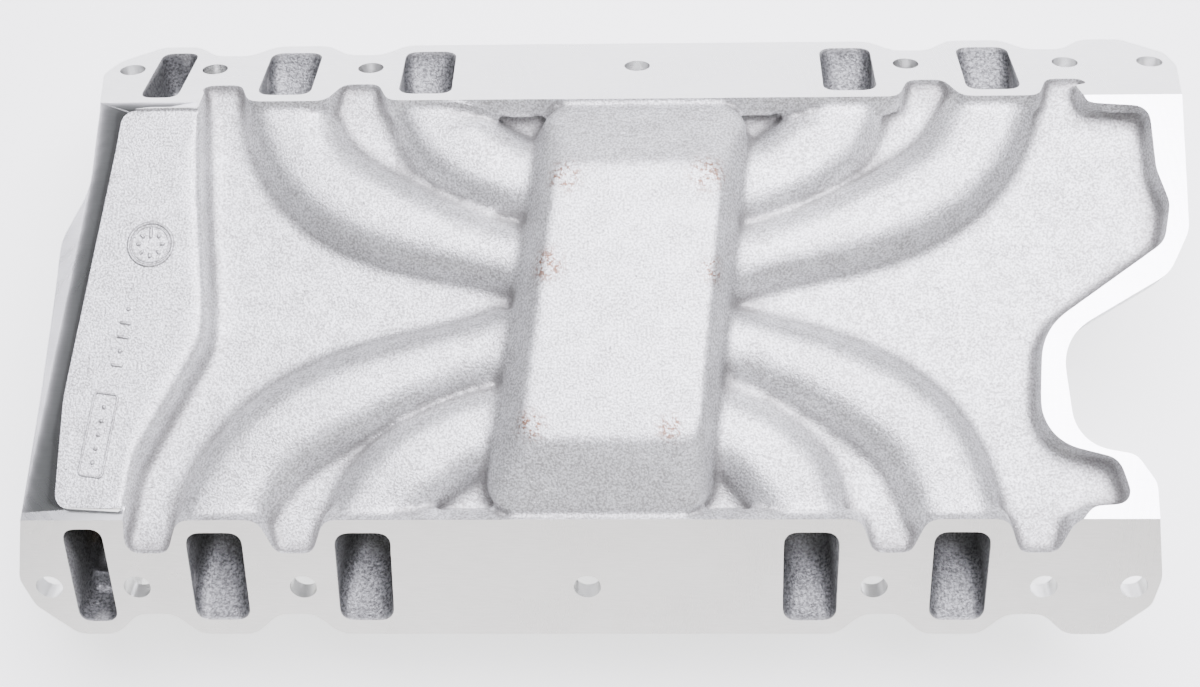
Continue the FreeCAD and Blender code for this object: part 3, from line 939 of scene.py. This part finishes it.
    def build(self, cast: bpy.types.Material, milled: bpy.types.Material) -> bpy.types.Object:
        """Make the finished casting.

        Args:
            cast: The finish of the cast skin.
            milled: The finish of the machined faces.

        Returns:
            The piece.
        """
        casting = self.rough_blank()
        self.round_off(casting)
        casting.data.materials.append(cast)
        self.cut(casting, self.panel_trim(), cast)
        for mills in (self.face_mills(), self.rail_mills()):
            self.cut(casting, join(mills[0], mills[1:]), milled)
        bores = self.drills()
        self.cut(casting, join(bores[0], bores[1:]), milled)
        self.sharpen(casting)
        self.store_painted_shade_and_highlight(casting)
        self.store_painted_port_shade(casting)
        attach(casting, "root")
        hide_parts("manifold_casting")
        return casting


# ---------------------------------------------------------------------------------------------
# Raised marks on the front panel
# ---------------------------------------------------------------------------------------------
class Mark(Enum):
    """The generic marks that a pattern maker leaves on a casting."""

    DIAL = "date_dial"
    BARS = "pattern_bars"
    FRAME = "framed_dots"


@dataclass
class CastMarks:
    """Low raised marks: a date dial, a row of bars and a framed row of dots."""

    level: float = 107.15 * MM
    proud: float = 0.95 * MM
    # How much painted shade the marks get through the painted shade attribute.
    shade: float = 0.55
    dial: Vector = field(default_factory=lambda: Vector((-179 * MM, 24 * MM, 0)))
    dial_radius: float = 8.6 * MM
    bars: Vector = field(default_factory=lambda: Vector((-187.5 * MM, -13 * MM, 0)))
    frame_middle: Vector = field(default_factory=lambda: Vector((-194.5 * MM, -51 * MM, 0)))
    lean: float = math.radians(-8)

    def on_panel(self, place: Vector, lift: float = 0.0) -> Vector:
        """A place on the panel.

        Args:
            place: Its plan place.
            lift: Its height over the panel.

        Returns:
            The point.
        """
        return Vector((place.x, place.y, self.level + lift))

    def ring(self, middle: Vector, radius: float, line: float) -> bpy.types.Object:
        """A raised ring with a round back, sunk to its middle.

        Args:
            middle: Its middle.
            radius: The radius of its line.
            line: Half the line's width.

        Returns:
            The ring.
        """
        bpy.ops.mesh.primitive_torus_add(location=self.on_panel(middle), major_radius=radius,
                                         minor_radius=line, major_segments=72,
                                         minor_segments=12)
        return named("ring")

    def pip(self, middle: Vector, size: Sequence[float], turn: float) -> bpy.types.Object:
        """A raised bar or dot with soft shoulders.

        Args:
            middle: Its middle.
            size: Its length and width.
            turn: Its angle on the panel.

        Returns:
            The pip.
        """
        bpy.ops.mesh.primitive_cube_add(size=1.0, location=self.on_panel(middle),
                                        rotation=(0, 0, turn),
                                        scale=(size[0], size[1], self.proud * 2))
        pip = named("pip")
        modify(pip, "BEVEL", width=min(size) * 0.38, segments=4, limit_method="NONE")
        return pip

    def row(self, middle: Vector, sizes: Sequence[tuple[float, float]],
            pitch: float) -> list[bpy.types.Object]:
        """A row of pips that follows the panel's front edge.

        Args:
            middle: The row's middle.
            sizes: The length and the width of each pip.
            pitch: Their spacing.

        Returns:
            The pips.
        """
        way = Matrix.Rotation(self.lean, 3, "Z") @ Vector((0, 1, 0))
        first = (1 - len(sizes)) / 2
        return [self.pip(middle + way * pitch * (first + number), size, self.lean)
                for number, size in enumerate(sizes)]

    def frame_line(self) -> bpy.types.Object:
        """The rounded frame round the dots.

        Returns:
            The frame.
        """
        bpy.ops.mesh.primitive_plane_add(size=1.0, location=self.on_panel(self.frame_middle),
                                         rotation=(0, 0, self.lean))
        line = bpy.context.view_layer.objects.active
        line.scale = (10 * MM, 33 * MM, 1)
        line = named("frame")
        bpy.ops.object.mode_set(mode="EDIT")
        bpy.ops.mesh.select_all(action="SELECT")
        bpy.ops.mesh.bevel(offset=2 * MM, segments=5, affect="VERTICES")
        bpy.ops.mesh.select_all(action="SELECT")
        bpy.ops.mesh.inset(thickness=0.9 * MM)
        bpy.ops.mesh.delete(type="FACE")
        bpy.ops.mesh.select_all(action="SELECT")
        bpy.ops.transform.translate(value=(0, 0, -self.proud))
        bpy.ops.object.mode_set(mode="OBJECT")
        modify(line, "SOLIDIFY", thickness=self.proud * 1.8, offset=1.0)
        modify(line, "BEVEL", width=0.3 * MM, segments=3, limit_method="ANGLE")
        return line

    def shape(self, mark: Mark) -> bpy.types.Object:
        """Model one mark.

        Args:
            mark: Which one.

        Returns:
            Its joined mesh.
        """
        dot, bar = (1.7 * MM, 1.7 * MM), (4.6 * MM, 1.3 * MM)
        if mark is Mark.DIAL:
            spokes = []
            for number in range(8):
                angle = number * math.tau / 8
                out = Vector((math.cos(angle), math.sin(angle), 0))
                size = bar if number == 2 else (2.0 * MM, 1.3 * MM)
                spokes.append(self.pip(self.dial + out * 4.6 * MM, size, angle))
            return join(self.ring(self.dial, self.dial_radius, 0.75 * MM),
                        [self.ring(self.dial, self.dial_radius * 0.84, 0.4 * MM), *spokes])
        if mark is Mark.BARS:
            pips = self.row(self.bars, (bar, dot, bar, bar, dot), 5.6 * MM)
            return join(pips[0], pips[1:])
        return join(self.frame_line(), self.row(self.frame_middle, (dot,) * 5, 5.4 * MM))

    def build(self, cast: bpy.types.Material) -> list[bpy.types.Object]:
        """Make the marks.

        Args:
            cast: The finish of the cast skin.

        Returns:
            The pieces.
        """
        pieces = []
        for mark in Mark:
            piece = self.shape(mark)
            piece.name = piece.data.name = mark.value
            piece.data.materials.clear()
            piece.data.materials.append(cast)
            # The marks get a fixed share of painted shade, so they read darker than the skin round
            # them.
            layer = piece.data.attributes.new("hollow", "FLOAT", "POINT")
            layer.data.foreach_set("value", [self.shade] * len(piece.data.vertices))
            choose(piece)
            bpy.ops.object.shade_smooth_by_angle(angle=math.radians(40))
            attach(piece, "root")
            LOG.info("%s: %d faces", piece.name, len(piece.data.polygons))
            pieces.append(piece)
        return pieces


# ---------------------------------------------------------------------------------------------
# Studio
# ---------------------------------------------------------------------------------------------
@dataclass
class Studio:
    """The floor, the light and the camera."""

    lens: float = 54.95
    floor_glow: float = 1.6
    room: float = 0.24
    overhead_watts: float = 86.0
    card_watts: float = 6.0

    def floor(self) -> None:
        """A pale, softly lit floor under the carburettor pad."""
        bpy.ops.mesh.primitive_plane_add(size=8.0, location=(0, 0, CAD_BOX[0].z))
        ground = named("floor")
        mat = Finish("pale_floor")
        dust = mat.noise(mat.coordinates(), 0.05, 3.0)
        ground.data.materials.append(mat.surface(
            Base_Color=mat.blend(dust, grey(0.93), grey(0.96)), Roughness=0.9,
            Emission_Color=grey(1.0), Emission_Strength=self.floor_glow))

    def lamp(self, name: str, place: Vector, target: Vector, size: tuple[float, float],
             power: float, colour: tuple[float, float, float]) -> None:
        """A softbox.

        Args:
            name: Its name.
            place: Where it stands.
            target: What it points at.
            size: Its sides.
            power: Its power in watts.
            colour: The colour of its light.
        """
        data = bpy.data.lights.new(name, "AREA")
        data.shape = "RECTANGLE"
        data.size, data.size_y = size
        data.energy = power
        data.color = colour
        lamp = bpy.data.objects.new(name, data)
        bpy.context.scene.collection.objects.link(lamp)
        lamp.location = place
        lamp.rotation_euler = (target - place).to_track_quat("-Z", "Y").to_euler()

    def lights(self) -> None:
        """A large softbox overhead and a low white card in front, in a dim room."""
        middle = Vector((0.05, 0.05, 0.1))
        self.lamp("overhead_softbox", Vector((0.25, 0.40, 1.5)), middle, (1.3, 1.1),
                  self.overhead_watts, (0.92, 0.90, 1.0))
        self.lamp("front_card", Vector((0, -1.5, 0.27)), Vector((0, 0, 0.27)), (1.7, 0.5),
                  self.card_watts, (1.0, 0.95, 0.92))
        world = bpy.data.worlds.new("dim_room")
        world.use_nodes = True
        world.node_tree.nodes["Background"].inputs["Color"].default_value = (0.93, 0.96, 1, 1)
        world.node_tree.nodes["Background"].inputs["Strength"].default_value = self.room
        bpy.context.scene.world = world

    def camera(self) -> None:
        """The camera, above the right bank and looking almost straight down."""
        right = Vector((0.99960, 0.00231, -0.02821))
        up = Vector((0.00418, 0.97370, 0.22779))
        back = right.cross(up)
        data = bpy.data.cameras.new("camera")
        data.sensor_width = 36.0
        data.lens = self.lens
        camera = bpy.data.objects.new("camera", data)
        bpy.context.scene.collection.objects.link(camera)
        turn = Matrix((right, up, back)).transposed().to_4x4()
        camera.matrix_world = Matrix.Translation((0.01505, -0.17499, 0.78521)) @ turn
        bpy.context.scene.camera = camera

    def build(self) -> None:
        """Set the studio up."""
        self.floor()
        self.lights()
        self.camera()


def dress(node: str, finish: bpy.types.Material) -> None:
    """Give a CAD node its finish.

    Args:
        node: The node's name.
        finish: The material.
    """
    for slot in frame["nodes"][node].material_slots:
        slot.material = finish


def main() -> None:
    """Build the manifold and its studio."""
    logging.basicConfig(level=logging.INFO, format="%(name)s: %(message)s")
    cast = SandCast().build()
    milled = Milled().build()
    casting = Casting().build(cast, milled)
    LOG.info("%s: %d faces", casting.name, len(casting.data.polygons))
    CastMarks().build(cast)
    plated = TurnedMetal("zinc_plate", (0.70, 0.68, 0.60), (0.58, 0.56, 0.50), 0.30).build()
    brass = TurnedMetal("turned_brass", (0.80, 0.62, 0.32), (0.62, 0.44, 0.20), 0.28).build()
    oiled = TurnedMetal("oiled_steel", (0.22, 0.21, 0.20), (0.10, 0.10, 0.10), 0.42).build()
    bright = TurnedMetal("stainless_insert", (0.62, 0.62, 0.61), (0.50, 0.50, 0.50), 0.30).build()
    for node, finish in (("carb_thread_inserts", bright), ("outlet_thread_inserts", bright),
                         ("bypass_hose_nipple", plated), ("heater_hose_nipple", plated),
                         ("temperature_sender_plug", brass), ("plenum_vacuum_plug", oiled),
                         ("runner_vacuum_plugs", brass)):
        dress(node, finish)
        LOG.info("dressed %s", node)
    Studio().build()


if __name__ == "__main__":
    main()
